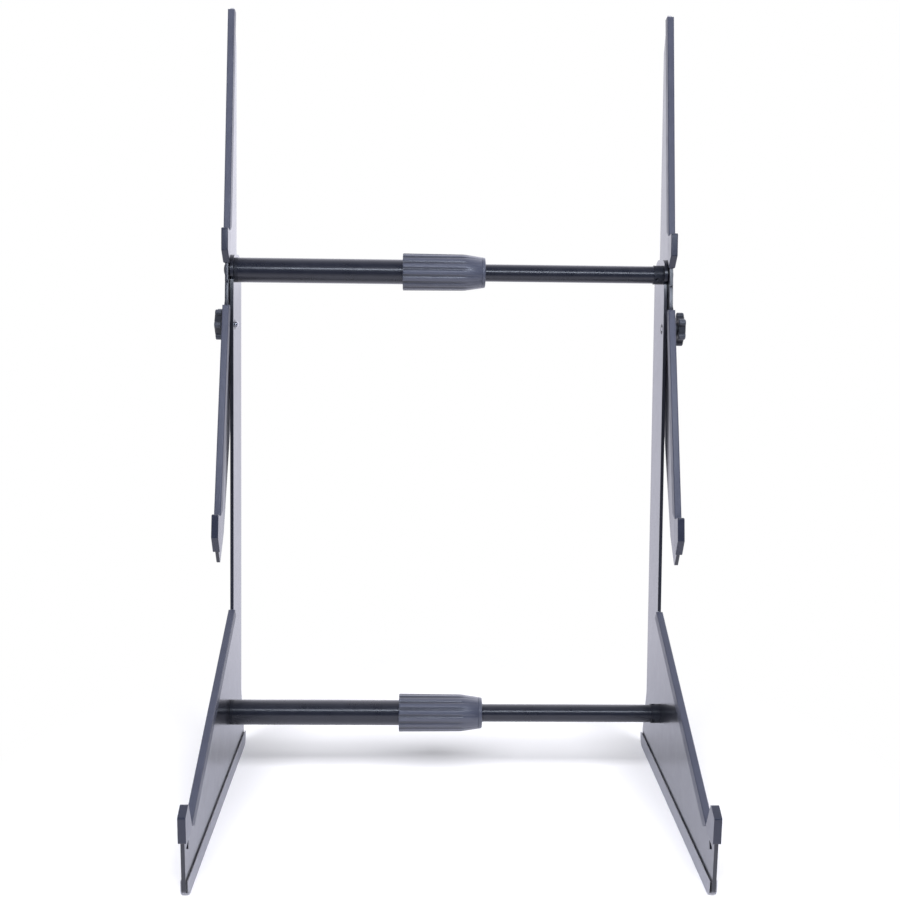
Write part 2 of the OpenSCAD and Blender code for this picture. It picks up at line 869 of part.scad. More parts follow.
side("left") side_plate();  // left_side_plate
side("left") foot_channel();  // left_foot_channel
side("left") base_trim();  // left_base_trim
side("left") base_lip_cap();  // left_base_lip_cap
outer_tube(upper_tube);  // upper_outer_tube
outer_tube(lower_tube);  // lower_outer_tube
left_tube_plugs();
tube_clutches();
side("left") pivot_bolt();  // left_pivot_bolt
side("left") friction_washer();  // left_friction_washer
side("left") pivot_washer();  // left_pivot_washer
side("left") lower_bolt();  // left_lower_bolt
side("left") lower_washer();  // left_lower_washer
side("left") stud_nut();  // left_stud_nut
side("right") side_plate();  // right_side_plate
side("right") foot_channel();  // right_foot_channel
side("right") base_trim();  // right_base_trim
side("right") base_lip_cap();  // right_base_lip_cap
inner_tube(upper_tube);  // upper_inner_tube
inner_tube(lower_tube);  // lower_inner_tube
right_tube_plugs();
inner_tube_guides();
side("right") pivot_bolt();  // right_pivot_bolt
side("right") friction_washer();  // right_friction_washer
side("right") pivot_washer();  // right_pivot_washer
side("right") lower_bolt();  // right_lower_bolt
side("right") lower_washer();  // right_lower_washer
side("right") stud_nut();  // right_stud_nut
collar(upper_tube);  // upper_collar
collar(lower_tube);  // lower_collar
side("left") bracket_plate();  // left_bracket_plate
side("left") middle_trim();  // left_middle_trim
side("left") top_trim();  // left_top_trim
side("left") tier_lip_cap(middle_shelf);  // left_middle_lip_cap
side("left") tier_lip_cap(top_shelf);  // left_top_lip_cap
side("right") bracket_plate();  // right_bracket_plate
side("right") middle_trim();  // right_middle_trim
side("right") top_trim();  // right_top_trim
side("right") tier_lip_cap(middle_shelf);  // right_middle_lip_cap
side("right") tier_lip_cap(top_shelf);  // right_top_lip_cap
side("left") clamp_knob(left_knob_unscrewed, left_knob_turn);  // left_clamp_knob
side("left") knob_stud(left_knob_unscrewed);  // left_knob_stud
side("left") knob_washer();  // left_knob_washer
side("right") clamp_knob(right_knob_unscrewed, right_knob_turn);  // right_clamp_knob
side("right") knob_stud(right_knob_unscrewed);  // right_knob_stud
side("right") knob_washer();  // right_knob_washer
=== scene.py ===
import json
import math
import bmesh
import bpy
from mathutils import Matrix, Vector

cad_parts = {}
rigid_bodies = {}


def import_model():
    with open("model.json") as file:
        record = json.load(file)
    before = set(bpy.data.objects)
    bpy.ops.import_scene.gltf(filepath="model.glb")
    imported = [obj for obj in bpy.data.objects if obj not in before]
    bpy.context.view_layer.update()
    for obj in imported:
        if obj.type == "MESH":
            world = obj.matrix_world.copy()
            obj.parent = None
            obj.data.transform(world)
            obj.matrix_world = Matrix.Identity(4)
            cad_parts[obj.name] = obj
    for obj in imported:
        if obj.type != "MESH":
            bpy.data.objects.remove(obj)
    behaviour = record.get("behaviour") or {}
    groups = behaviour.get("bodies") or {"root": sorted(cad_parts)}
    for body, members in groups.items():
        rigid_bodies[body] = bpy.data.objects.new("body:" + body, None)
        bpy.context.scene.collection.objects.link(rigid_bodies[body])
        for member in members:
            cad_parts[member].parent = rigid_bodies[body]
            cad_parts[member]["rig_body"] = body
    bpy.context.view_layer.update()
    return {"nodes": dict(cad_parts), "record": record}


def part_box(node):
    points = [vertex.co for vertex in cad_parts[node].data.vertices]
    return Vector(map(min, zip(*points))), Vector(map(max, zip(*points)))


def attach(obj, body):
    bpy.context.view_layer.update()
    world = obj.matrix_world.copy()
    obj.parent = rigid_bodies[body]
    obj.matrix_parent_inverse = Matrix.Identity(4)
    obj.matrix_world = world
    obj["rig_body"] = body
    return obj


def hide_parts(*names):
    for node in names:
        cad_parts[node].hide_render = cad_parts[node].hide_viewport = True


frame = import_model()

print("frame loaded:", len(frame["nodes"]), "CAD nodes")

# Camera, fitted to the photograph: a little above the stand and nearly square to it.
standView = {
    "place": (-0.0229, -0.9355, 0.4606),
    "pitchDown": 9.38,  # degrees, as the next two
    "yawRight": 1.38,
    "roll": 0.72,
    "lens": 46.0,
    "sensor": 36.0,
    "nearest": 0.01,
}


def makeCamera(view):
    pitch = math.radians(view["pitchDown"])
    yaw = math.radians(view["yawRight"])
    roll = math.radians(view["roll"])
    ahead = Vector((math.sin(yaw) * math.cos(pitch), math.cos(yaw) * math.cos(pitch), -math.sin(pitch)))
    level = Vector((math.cos(yaw), -math.sin(yaw), 0))
    upright = level.cross(ahead)
    right = level * math.cos(roll) + upright * math.sin(roll)
    up = upright * math.cos(roll) - level * math.sin(roll)
    data = bpy.data.cameras.new("standCamera")
    data.lens = view["lens"]
    data.sensor_width = view["sensor"]
    data.clip_start = view["nearest"]
    camera = bpy.data.objects.new("standCamera", data)
    camera.matrix_world = Matrix((right, up, -ahead)).transposed().to_4x4()
    camera.location = view["place"]
    bpy.context.scene.collection.objects.link(camera)
    bpy.context.scene.camera = camera


makeCamera(standView)
print("camera placed")


# Every node tree below is put together with this. A socket takes a number, a colour, a word or the output
# of another node.
class treeBuilder:
    def __init__(self, tree):
        self.tree = tree

    def feed(self, socket, source):
        if isinstance(source, bpy.types.NodeSocket):
            self.tree.links.new(source, socket)
        elif socket.type == "RGBA":
            socket.default_value = (*source, 1)
        else:
            socket.default_value = source

    # Sources are named for the node's inputs, with an underscore for a space.
    def node(self, kind, settings=None, **sources):
        node = self.tree.nodes.new(kind)
        for key, value in (settings or {}).items():
            setattr(node, key, value)
        for label, source in sources.items():
            self.feed(node.inputs[label.replace("_", " ")], source)
        return node.outputs

    # Sources go to the node's first inputs in turn, for nodes whose inputs share one name.
    def nodeInTurn(self, kind, *sources, **settings):
        node = self.tree.nodes.new(kind)
        for key, value in settings.items():
            setattr(node, key, value)
        for socket, source in zip(node.inputs, sources):
            self.feed(socket, source)
        return node.outputs

    def math(self, operation, *values):
        return self.nodeInTurn("ShaderNodeMath", *values, operation=operation)[0]

    def mixedShader(self, factor, usual, other):
        return self.nodeInTurn("ShaderNodeMixShader", factor, usual, other)[0]

    def tint(self, factor, usual, other, blend="MIX"):
        settings = {"data_type": "RGBA", "blend_type": blend}
        return self.node("ShaderNodeMix", settings, Factor=factor, A=usual, B=other)["Result"]

    # Carries a value from one range over to another, and stops at its ends.
    def spread(self, value, limits, outcome=(0.0, 1.0), course="LINEAR"):
        return self.node(
            "ShaderNodeMapRange", {"interpolation_type": course}, Value=value, From_Min=limits[0],
            From_Max=limits[1], To_Min=outcome[0], To_Max=outcome[1],
        )["Result"]


# A new group of nodes: its builder, the sockets it is given, and those that it gives.
def newGroup(kind, name, inputs, outputs):
    tree = bpy.data.node_groups.new(name, kind)
    for way, sockets in (("INPUT", inputs), ("OUTPUT", outputs)):
        for label, socketKind in sockets.items():
            tree.interface.new_socket(name=label, in_out=way, socket_type="NodeSocket" + socketKind)
    build = treeBuilder(tree)
    return build, build.node("NodeGroupInput"), tree.nodes.new("NodeGroupOutput").inputs


# Studio: a white room that is darker on the camera's side and a little brighter to the right, and a white
# floor that keeps the soft shadows near the stand. The soft box ahead and above lights the stand but isn't
# mirrored in it. The small bluish strip near the stand is only mirrored, as the narrow gleam along tubes
# and collars. Places and distances are in metres, in the stand's own frame.
studio = {
    "ambient": 0.28,
    "ambientColor": (0.96, 0.97, 1.0),
    "reflectedBack": (1.28, 1.28, 1.44),  # the room as mirrored, behind the stand
    "reflectedFront": (0.10, 0.12, 0.20),  # and on the camera's side
    "frontToBack": (-0.75, 1.0),  # how far a direction points back, from the front tone to the back one
    "reflectedRightward": 0.45,
    "floorSize": 40.0,
    "floorColor": (0.865, 0.865, 0.915),
    "floorLift": 0.15,  # a glow of its own, which keeps the shadows soft
    "floorFade": (0.22, 0.42),  # the floor turns plain white between these distances from its middle
    "reflectedNear": (0.53, 0.54, 0.66),  # the floor as mirrored, near the stand
    "reflectedFar": (0.98, 0.98, 1.13),  # and far behind it
    "mirroredLift": 0.20,
    "mirroredFade": (0.12, 0.50),
    "mirroredFront": (-1.0, -0.1),  # depths between which the far floor goes from the front tone to the back
    "lamps": (
        {
            "name": "softBoxFront", "place": (0.0, -1.42, 1.72), "aim": (0.0, 0.06, 0.1),
            "size": (2.3, 1.2), "power": 79.0, "color": (1.0, 1.0, 1.0),
            "lights": True, "mirrored": False,
        },
        {
            "name": "stripGleam", "place": (0.05, -0.75, 0.79), "aim": (0.0, 0.06, 0.35),
            "size": (0.75, 0.12), "power": 2.9, "color": (0.80, 0.87, 1.0),
            "lights": False, "mirrored": True,
        },
    ),
}
pureWhite = (1.0, 1.0, 1.0)


def makeWorld(room):
    world = bpy.data.worlds.new("studioWorld")
    bpy.context.scene.world = world
    world.use_nodes = True
    world.node_tree.nodes.clear()
    build = treeBuilder(world.node_tree)
    ray = build.node("ShaderNodeLightPath")
    direction = build.node("ShaderNodeSeparateXYZ", Vector=build.node("ShaderNodeTexCoord")["Generated"])
    toBack = build.spread(direction["Y"], room["frontToBack"], course="SMOOTHSTEP")
    mirroredColor = build.tint(toBack, room["reflectedFront"], room["reflectedBack"])
    mirroredStrength = build.math("MULTIPLY_ADD", direction["X"], room["reflectedRightward"], 1.0)
    lit = build.node("ShaderNodeBackground", Color=room["ambientColor"], Strength=room["ambient"])[0]
    mirrored = build.node("ShaderNodeBackground", Color=mirroredColor, Strength=mirroredStrength)[0]
    seen = build.node("ShaderNodeBackground", Color=pureWhite)[0]
    unseen = build.mixedShader(ray["Is Glossy Ray"], lit, mirrored)
    build.node("ShaderNodeOutputWorld", Surface=build.mixedShader(ray["Is Camera Ray"], unseen, seen))


# Away from the stand the floor fades over two stretches: as the camera sees it to plain white, and as the
# stand mirrors it to the tones of the mirrored room.
def makeFloorPaper(room):
    material = bpy.data.materials.new("floorPaper")
    material.use_nodes = True
    material.node_tree.nodes.clear()
    build = treeBuilder(material.node_tree)
    ray = build.node("ShaderNodeLightPath")
    seen = ray["Is Camera Ray"]
    mirrored = ray["Is Glossy Ray"]
    place = build.node("ShaderNodeTexCoord")["Object"]
    reach = build.nodeInTurn("ShaderNodeVectorMath", place, operation="LENGTH")["Value"]
    fades = [
        build.math("MULTIPLY", which, build.spread(reach, limits, course="SMOOTHSTEP"))
        for which, limits in ((seen, room["floorFade"]), (mirrored, room["mirroredFade"]))
    ]
    lifts = [
        build.math("MULTIPLY", which, lift)
        for which, lift in ((seen, room["floorLift"]), (mirrored, room["mirroredLift"]))
    ]
    toBack = build.spread(build.node("ShaderNodeSeparateXYZ", Vector=place)["Y"], room["mirroredFront"])
    mirroredFar = build.tint(toBack, room["reflectedFront"], room["reflectedFar"])
    far = build.node("ShaderNodeEmission", Color=build.tint(mirrored, pureWhite, mirroredFar))[0]
    paperColor = build.tint(mirrored, room["floorColor"], room["reflectedNear"])
    paper = build.node("ShaderNodeBsdfDiffuse", Color=paperColor)[0]
    glow = build.node("ShaderNodeEmission", Strength=build.math("ADD", *lifts))[0]
    near = build.nodeInTurn("ShaderNodeAddShader", paper, glow)[0]
    whole = build.mixedShader(build.math("ADD", *fades), near, far)
    build.node("ShaderNodeOutputMaterial", Surface=whole)
    return material


def makeFloor(room):
    half = room["floorSize"] / 2
    corners = [(-half, -half, 0), (half, -half, 0), (half, half, 0), (-half, half, 0)]
    mesh = bpy.data.meshes.new("floor")
    mesh.from_pydata(corners, [], [(0, 1, 2, 3)])
    mesh.materials.append(makeFloorPaper(room))
    floor = bpy.data.objects.new("floor", mesh)
    bpy.context.scene.collection.objects.link(floor)


def makeLamp(lampSet):
    data = bpy.data.lights.new(lampSet["name"], "AREA")
    data.shape = "RECTANGLE"
    data.size, data.size_y = lampSet["size"]
    data.energy = lampSet["power"]
    data.color = lampSet["color"]
    lamp = bpy.data.objects.new(lampSet["name"], data)
    lamp.visible_diffuse = lampSet["lights"]
    lamp.visible_glossy = lampSet["mirrored"]
    lamp.location = lampSet["place"]
    ahead = Vector(lampSet["aim"]) - Vector(lampSet["place"])
    lamp.rotation_euler = ahead.to_track_quat("-Z", "Y").to_euler()
    bpy.context.scene.collection.objects.link(lamp)


makeWorld(studio)
makeFloor(studio)
for lampSet in studio["lamps"]:
    makeLamp(lampSet)
bpy.context.scene.view_settings.view_transform = "Standard"
print("studio lit")

# Surface effects that every finish shares: fine grain, slow clouds of tone, rubbed streaks and small specks.
surface = {
    "grainDetail": 2.0,
    "cloudDetail": 4.0,
    "cloudRoughness": 0.62,
    "cloudRange": (0.3, 0.7),  # where most of the cloud's values lie
    "streakStretch": (60, 9, 9),
    "streakScale": 6.0,
    "streakDetail": 6.0,
    "streakStart": 0.52,  # higher leaves fewer of them
    "speckScale": 420.0,
    "speckDetail": 1.0,
    "speckStart": 0.7,
    "bumpDistance": 0.0002,
}


# Height is for a Bump node, and Cloud for slow changes of tone and sheen.
def makeGrainGroup(look):
    build, given, result = newGroup(
        "ShaderNodeTree", "surfaceGrain", {"Grain Scale": "Float", "Cloud Scale": "Float"},
        {"Height": "Float", "Cloud": "Float"},
    )
    place = build.node("ShaderNodeTexCoord")["Object"]
    fine = build.node(
        "ShaderNodeTexNoise", Vector=place, Scale=given["Grain Scale"], Detail=look["grainDetail"],
    )
    cloud = build.node(
        "ShaderNodeTexNoise", Vector=place, Scale=given["Cloud Scale"], Detail=look["cloudDetail"],
        Roughness=look["cloudRoughness"],
    )
    build.feed(result["Height"], fine["Fac"])
    build.feed(result["Cloud"], cloud["Fac"])
    return build.tree


# Faint rubbed streaks and specks, stronger where Amount is higher.
def makeHandlingGroup(look):
    build, given, result = newGroup(
        "ShaderNodeTree", "handlingMarks", {"Amount": "Float", "Speck Scale": "Float"}, {"Marks": "Float"},
    )
    place = build.node("ShaderNodeTexCoord")["Object"]
    drawn = build.node("ShaderNodeMapping", Vector=place, Scale=look["streakStretch"])["Vector"]
    streaks = build.node(
        "ShaderNodeTexNoise", Vector=drawn, Scale=look["streakScale"], Detail=look["streakDetail"],
    )
    specks = build.node(
        "ShaderNodeTexNoise", Vector=place, Scale=given["Speck Scale"], Detail=look["speckDetail"],
    )
    rubbed = build.math("SUBTRACT", streaks["Fac"], look["streakStart"])
    dotted = build.math("SUBTRACT", specks["Fac"], look["speckStart"])
    marked = build.math("MAXIMUM", build.math("MAXIMUM", rubbed, dotted), 0.0)
    build.feed(result["Marks"], build.math("MULTIPLY", marked, given["Amount"]))
    return build.tree


grainGroup = makeGrainGroup(surface)
handlingGroup = makeHandlingGroup(surface)

# Each finish goes slowly from its dark to its light tone, and its roughness with it. Where it has a hollow
# share, shade is painted into the floor of a turned piece's grooves, which keeps that share of the tone.
finishes = {
    "powderCoat": {
        "dark": (0.008, 0.009, 0.014), "light": (0.012, 0.013, 0.020), "rough": (0.30, 0.34),
        "specular": 0.5, "coat": 0.9, "coatRough": 0.17,
        "grain": 2600, "bump": 0.02, "cloud": 60, "marks": 0.1,
    },
    "tubeCoat": {
        "dark": (0.005, 0.006, 0.011), "light": (0.009, 0.010, 0.017), "rough": (0.26, 0.32),
        "specular": 0.6, "coat": 0.4, "coatRough": 0.14,
        "grain": 1700, "bump": 0.02, "cloud": 60, "marks": 0.3,
    },
    "edgeRubber": {
        "dark": (0.036, 0.040, 0.064), "light": (0.046, 0.051, 0.079), "rough": (0.42, 0.54),
        "specular": 0.4, "coat": 0.4, "coatRough": 0.25,
        "grain": 1900, "bump": 0.10, "cloud": 60, "marks": 0.3,
    },
    "capRubber": {
        "dark": (0.010, 0.012, 0.024), "light": (0.016, 0.019, 0.035), "rough": (0.34, 0.42),
        "specular": 0.4, "coat": 0.85, "coatRough": 0.14,
        "grain": 1900, "bump": 0.06, "cloud": 60, "marks": 0.3,
    },
    "footRubber": {
        "dark": (0.30, 0.305, 0.35), "light": (0.37, 0.375, 0.43), "rough": (0.46, 0.56),
        "specular": 0.5, "coat": 0.3, "coatRough": 0.3,
        "grain": 1900, "bump": 0.10, "cloud": 60, "marks": 0.4,
    },
    "gripPlastic": {
        "dark": (0.036, 0.041, 0.065), "light": (0.043, 0.049, 0.077), "rough": (0.40, 0.46),
        "specular": 0.9, "coat": 0.8, "coatRough": 0.29,
        "grain": 1500, "bump": 0.06, "cloud": 60, "marks": 0.3, "hollowShade": 0.35,
    },
    "knobPlastic": {
        "dark": (0.034, 0.038, 0.052), "light": (0.044, 0.050, 0.068), "rough": (0.34, 0.42),
        "specular": 0.6, "coat": 0.0, "coatRough": 0.2,
        "grain": 1500, "bump": 0.06, "cloud": 60, "marks": 0.3, "hollowShade": 0.4,
    },
    "bushPlastic": {
        "dark": (0.007, 0.008, 0.013), "light": (0.012, 0.014, 0.022), "rough": (0.32, 0.42),
        "specular": 0.4, "coat": 0.0, "coatRough": 0.3,
        "grain": 1500, "bump": 0.06, "cloud": 60, "marks": 0.3,
    },
    "blackSteel": {
        "dark": (0.022, 0.022, 0.026), "light": (0.038, 0.038, 0.044), "rough": (0.28, 0.40),
        "specular": 0.5, "coat": 0.0, "coatRough": 0.3,
        "grain": 3000, "bump": 0.05, "cloud": 90, "marks": 0.6, "metal": 0.85,
    },
    "brightSteel": {
        "dark": (0.55, 0.55, 0.57), "light": (0.68, 0.68, 0.70), "rough": (0.16, 0.26),
        "specular": 0.5, "coat": 0.0, "coatRough": 0.3,
        "grain": 3000, "bump": 0.04, "cloud": 120, "marks": 0.4, "metal": 1.0,
    },
}


def makeFinish(name, finish):
    material = bpy.data.materials.new(name)
    material.use_nodes = True
    build = treeBuilder(material.node_tree)
    grain = build.node(
        "ShaderNodeGroup", {"node_tree": grainGroup},
        Grain_Scale=finish["grain"], Cloud_Scale=finish["cloud"],
    )
    marks = build.node(
        "ShaderNodeGroup", {"node_tree": handlingGroup},
        Amount=finish["marks"], Speck_Scale=surface["speckScale"],
    )
    share = build.spread(grain["Cloud"], surface["cloudRange"])
    tone = build.tint(share, finish["dark"], finish["light"])
    # Painted shade: the floors of the flutes and the hollows between the lobes are darkened down to the
    # hollow share.
    if "hollowShade" in finish:
        relief = build.node("ShaderNodeAttribute", {"attribute_name": "relief"})["Fac"]
        tone = build.tint(1.0, tone, build.spread(relief, (0.0, 1.0), (finish["hollowShade"], 1.0)), "MULTIPLY")
    sheen = build.spread(grain["Cloud"], surface["cloudRange"], finish["rough"])
    normal = build.node(
        "ShaderNodeBump", Height=grain["Height"], Strength=finish["bump"], Distance=surface["bumpDistance"],
    )["Normal"]
    shader = build.tree.nodes["Principled BSDF"].inputs
    for label, source in (
        ("Base Color", tone),
        ("Roughness", build.math("ADD", sheen, marks["Marks"])),
        ("Normal", normal),
        ("Metallic", finish.get("metal", 0.0)),
        ("Specular IOR Level", finish["specular"]),
        ("Coat Weight", finish["coat"]),
        ("Coat Roughness", finish["coatRough"]),
    ):
        build.feed(shader[label], source)
    return material


materials = {name: makeFinish(name, finish) for name, finish in finishes.items()}
slotFinish = {
    "powder_coat": "powderCoat",
    "tube_coat": "tubeCoat",
    "edge_rubber": "edgeRubber",
    "foot_rubber": "footRubber",
    "grip_plastic": "gripPlastic",
    "bush_plastic": "bushPlastic",
    "steel": "blackSteel",
}
slotOfNode = {entry["node"]: entry["material_slot"] for entry in frame["record"]["subparts"]}


def finishOf(nodeName):
    if nodeName.endswith("lip_cap"):
        return "capRubber"
    if nodeName.endswith("clamp_knob"):
        return "knobPlastic"
    if nodeName.endswith(("knob_stud", "knob_washer")):
        return "brightSteel"
    return slotFinish[slotOfNode[nodeName]]


def dress(piece, nodeName):
    piece.data.materials.clear()
    piece.data.materials.append(materials[finishOf(nodeName)])


for nodeName, node in frame["nodes"].items():
    dress(node, nodeName)
print("finishes made:", len(materials))


# The piece gets the plain mesh that its modifier makes of it, under its own name, and the modifier goes.
def applyModifier(piece, modifier):
    seen = piece.evaluated_get(bpy.context.evaluated_depsgraph_get())
    mesh = bpy.data.meshes.new_from_object(seen)
    spent = piece.data
    piece.modifiers.remove(modifier)
    piece.data = mesh
    bpy.data.meshes.remove(spent)
    mesh.name = piece.name
    return mesh


# Writes the worked shape back, smooth all over but for the edges that turn by more than the sharp angle.
def writeSmooth(shape, mesh, sharpAngle):
    for face in shape.faces:
        face.smooth = True
    shape.to_mesh(mesh)
    shape.free()
    mesh.set_sharp_from_angle(angle=math.radians(sharpAngle))


# The piece moves with its CAD node's body and is shown in that node's place.
def standFor(piece, nodeName):
    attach(piece, frame["nodes"][nodeName]["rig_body"])
    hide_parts(nodeName)


# Turned pieces: a profile is carried round the X axis, and a ring of equal circles says how far out each
# angle may reach. They cut flutes into the outline, or stand out from it as lobes. Sizes are in metres.
turning = {
    "seamGap": 0.000004,  # points nearer than this are one point, along the seam and at the poles
    "leastRadius": 0.001,  # keeps the painted recess shade defined at the poles
    "sharpAngle": 40.0,
    "roundShare": 0.49,  # the most of the way to the next corner that a rounding may take
}


# How far from the axis a circle lies, at an angle from its middle: its far side where side is 1, and its
# near side where side is -1.
def circleReach(build, away, radius, angle, side):
    across = build.math("MULTIPLY", away, build.math("SINE", angle))
    rest = build.math("SUBTRACT", build.math("POWER", radius, 2.0), build.math("POWER", across, 2.0))
    chord = build.math("SQRT", build.math("MAXIMUM", rest, 0.0))
    middle = build.math("MULTIPLY", away, build.math("COSINE", angle))
    return build.math("ADD", middle, build.math("MULTIPLY", chord, side))


# The profile comes in as loose points of place along the axis, inset from the lobes' outline, and radius.
# The result carries a value for the painted shade in the recesses, from 0 at the shade depth or deeper to
# 1 on the full radius.
def makeTurnedTree(name, lobed, reliefDepth):
    inputs = {
        "Geometry": "Geometry", "Repeat Count": "Int", "Steps": "Int", "Turn": "Float",
        "Ring Radius": "Float", "Repeat Radius": "Float", "Soft Edge": "Float", "Material": "Material",
    }
    if lobed:
        inputs["Core Radius"] = "Float"
    build, given, result = newGroup("GeometryNodeTree", name, inputs, {"Geometry": "Geometry"})
    profileCount = build.node("GeometryNodeAttributeDomainSize", Geometry=given["Geometry"])["Point Count"]
    around = build.math("MULTIPLY", given["Repeat Count"], given["Steps"])
    perRing = build.math("ADD", around, 1.0)
    grid = build.node("GeometryNodeMeshGrid", Vertices_X=profileCount, Vertices_Y=perRing)["Mesh"]
    index = build.math("ADD", build.node("GeometryNodeInputIndex")["Index"], 0.5)  # clear of rounding down
    row = build.math("FLOOR", build.math("DIVIDE", index, perRing))
    column = build.math("FLOOR", build.math("SUBTRACT", index, build.math("MULTIPLY", row, perRing)))
    angle = build.math("MULTIPLY", build.math("DIVIDE", column, around), 2 * math.pi)
    sample = build.node(
        "GeometryNodeSampleIndex", {"data_type": "FLOAT_VECTOR"}, Geometry=given["Geometry"],
        Value=build.node("GeometryNodeInputPosition")["Position"], Index=row,
    )
    profile = build.node("ShaderNodeSeparateXYZ", Vector=sample["Value"])
    halfPitch = build.math("DIVIDE", math.pi, given["Repeat Count"])
    offCentre = build.math("PINGPONG", build.math("SUBTRACT", angle, given["Turn"]), halfPitch)
    side = 1.0 if lobed else -1.0
    circle = circleReach(build, given["Ring Radius"], given["Repeat Radius"], offCentre, side)
    if lobed:
        outline = build.math("SMOOTH_MAX", given["Core Radius"], circle, given["Soft Edge"])
        radius = build.math("MINIMUM", profile["Z"], build.math("SUBTRACT", outline, profile["Y"]))
    else:
        radius = build.math("SMOOTH_MIN", profile["Z"], circle, given["Soft Edge"])
    sideways = build.math("MULTIPLY", radius, build.math("SINE", angle))
    downward = build.math("MULTIPLY", radius, build.math("COSINE", angle))
    upward = build.math("MULTIPLY", downward, -1.0)
    place = build.node("ShaderNodeCombineXYZ", X=profile["X"], Y=sideways, Z=upward)["Vector"]
    shape = build.node("GeometryNodeSetPosition", Geometry=grid, Position=place)["Geometry"]
    # Painted shade: a value that is 0 in the floors of the flutes and between the lobes, where the finish
    # darkens them.
    share = build.math("DIVIDE", radius, build.math("MAXIMUM", profile["Z"], turning["leastRadius"]))
    relief = build.math("DIVIDE", build.math("SUBTRACT", share, 1.0 - reliefDepth), reliefDepth)
    marked = build.node(
        "GeometryNodeStoreNamedAttribute", {"data_type": "FLOAT", "domain": "POINT"}, Geometry=shape,
        Name="relief", Value=build.math("MAXIMUM", relief, 0.0),
    )["Geometry"]
    closed = build.node("GeometryNodeMergeByDistance", Geometry=marked, Distance=turning["seamGap"])
    whole = build.node("GeometryNodeRealizeInstances", Geometry=closed["Geometry"])["Geometry"]
    painted = build.node("GeometryNodeSetMaterial", Geometry=whole, Material=given["Material"])["Geometry"]
    build.feed(result["Geometry"], painted)
    return build.tree


# The profile starts at the low end of the node's box, or at the high end where the piece is mirrored.
def turnedPiece(nodeName, tree, points, values, mirrored=False):
    profile = bpy.data.meshes.new(nodeName + "_profile")
    profile.from_pydata(points, [], [])
    piece = bpy.data.objects.new(nodeName + "_turned", profile)
    bpy.context.scene.collection.objects.link(piece)
    modifier = piece.modifiers.new("turned", "NODES")
    modifier.node_group = tree
    sockets = {item.name: item.identifier for item in tree.interface.items_tree if item.in_out == "INPUT"}
    for label, value in values.items():
        modifier[sockets[label]] = value
    mesh = applyModifier(piece, modifier)
    low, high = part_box(nodeName)
    middle = (low + high) / 2
    start = Vector((high.x if mirrored else low.x, middle.y, middle.z))
    mesh.transform(Matrix.Translation(start) @ Matrix.Diagonal((-1 if mirrored else 1, 1, 1, 1)))
    shape = bmesh.new()
    shape.from_mesh(mesh)
    bmesh.ops.recalc_face_normals(shape, faces=shape.faces)
    writeSmooth(shape, mesh, turning["sharpAngle"])
    standFor(piece, nodeName)


def cadLength(nodeName):
    low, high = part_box(nodeName)
    return high.x - low.x


# Twist-lock collars, measured from the wide end: a straight fluted body that falls a little in radius, and a
# tapered nose with a fine ring. Inside are a bore for the outer tube, a cone over the clutch and a bore for
# the inner tube.
collarSizes = {
    "length": cadLength("upper_collar"),
    "gripRadius": 0.0165,
    "fall": 0.0004,
    "bodyEnd": 0.0555,
    "noseRadius": 0.0134,
    "noseStartRound": 0.003,
    "ringPlace": 0.0708,
    "ringDepth": 0.0003,
    "ringHalfWidth": 0.0003,
    "mouthBevel": 0.0005,
    "mouthRound": 0.0002,
    "tipBevelLength": 0.0004,
    "tipBevelDepth": 0.0009,
    "tipRound": 0.0003,
    "edgeRound": 0.0004,
    "roundSteps": 5,
    "outerBore": 0.01106,
    "innerBore": 0.00805,
    "coneStart": 0.030,
    "coneEnd": 0.0603,
    "coneWide": 0.0111,
    "coneNarrow": 0.00965,
    "fluteCount": 16,
    "fluteAxis": 0.0175,
    "fluteRadius": 0.0020,
    "fluteSteps": 24,
    "softEdge": 0.0008,
    "reliefDepth": 0.05,  # the share of the radius over which shade is painted into the grooves
}


# A corner is a place along the axis, a radius and how far from it the rounding starts.
def roundProfile(corners, steps):
    points = []
    for i, (along, radius, rounding) in enumerate(corners):
        here = Vector((along, 0, radius))
        if rounding == 0:
            points.append(here)
            continue
        ends = []
        for neighbour in (corners[i - 1], corners[i + 1]):
            way = Vector((neighbour[0], 0, neighbour[1])) - here
            ends.append(here + way.normalized() * min(rounding, way.length * turning["roundShare"]))
        for step in range(steps + 1):
            share = step / steps
            left = 1 - share
            points.append(ends[0] * left ** 2 + here * 2 * share * left + ends[1] * share ** 2)
    return points


def collarProfile(collar):
    grip = collar["gripRadius"]
    fallen = grip - collar["fall"]
    bodyEnd = collar["bodyEnd"]
    nose = collar["noseRadius"]
    length = collar["length"]
    ring = collar["ringPlace"]
    ringHalf = collar["ringHalfWidth"]
    atRing = fallen - (fallen - nose) * (ring - bodyEnd) / (length - bodyEnd)
    corners = (
        (collar["coneStart"], collar["outerBore"], 0),
        (0, collar["outerBore"], collar["mouthRound"]),
        (0, grip - collar["mouthBevel"], 0),
        (collar["mouthBevel"], grip, collar["edgeRound"]),
        (bodyEnd, fallen, collar["noseStartRound"]),
        (ring - ringHalf, atRing, 0),
        (ring, atRing - collar["ringDepth"], 0),
        (ring + ringHalf, atRing, 0),
        (length - collar["tipBevelLength"], nose, collar["edgeRound"]),
        (length, nose - collar["tipBevelDepth"], collar["tipRound"]),
        (length, collar["innerBore"], collar["edgeRound"]),
        (collar["coneEnd"], collar["innerBore"], 0),
        (collar["coneEnd"], collar["coneNarrow"], 0),
        (collar["coneStart"], collar["coneWide"], 0),
        (collar["coneStart"], collar["outerBore"], 0),
    )
    return roundProfile(corners, collar["roundSteps"])


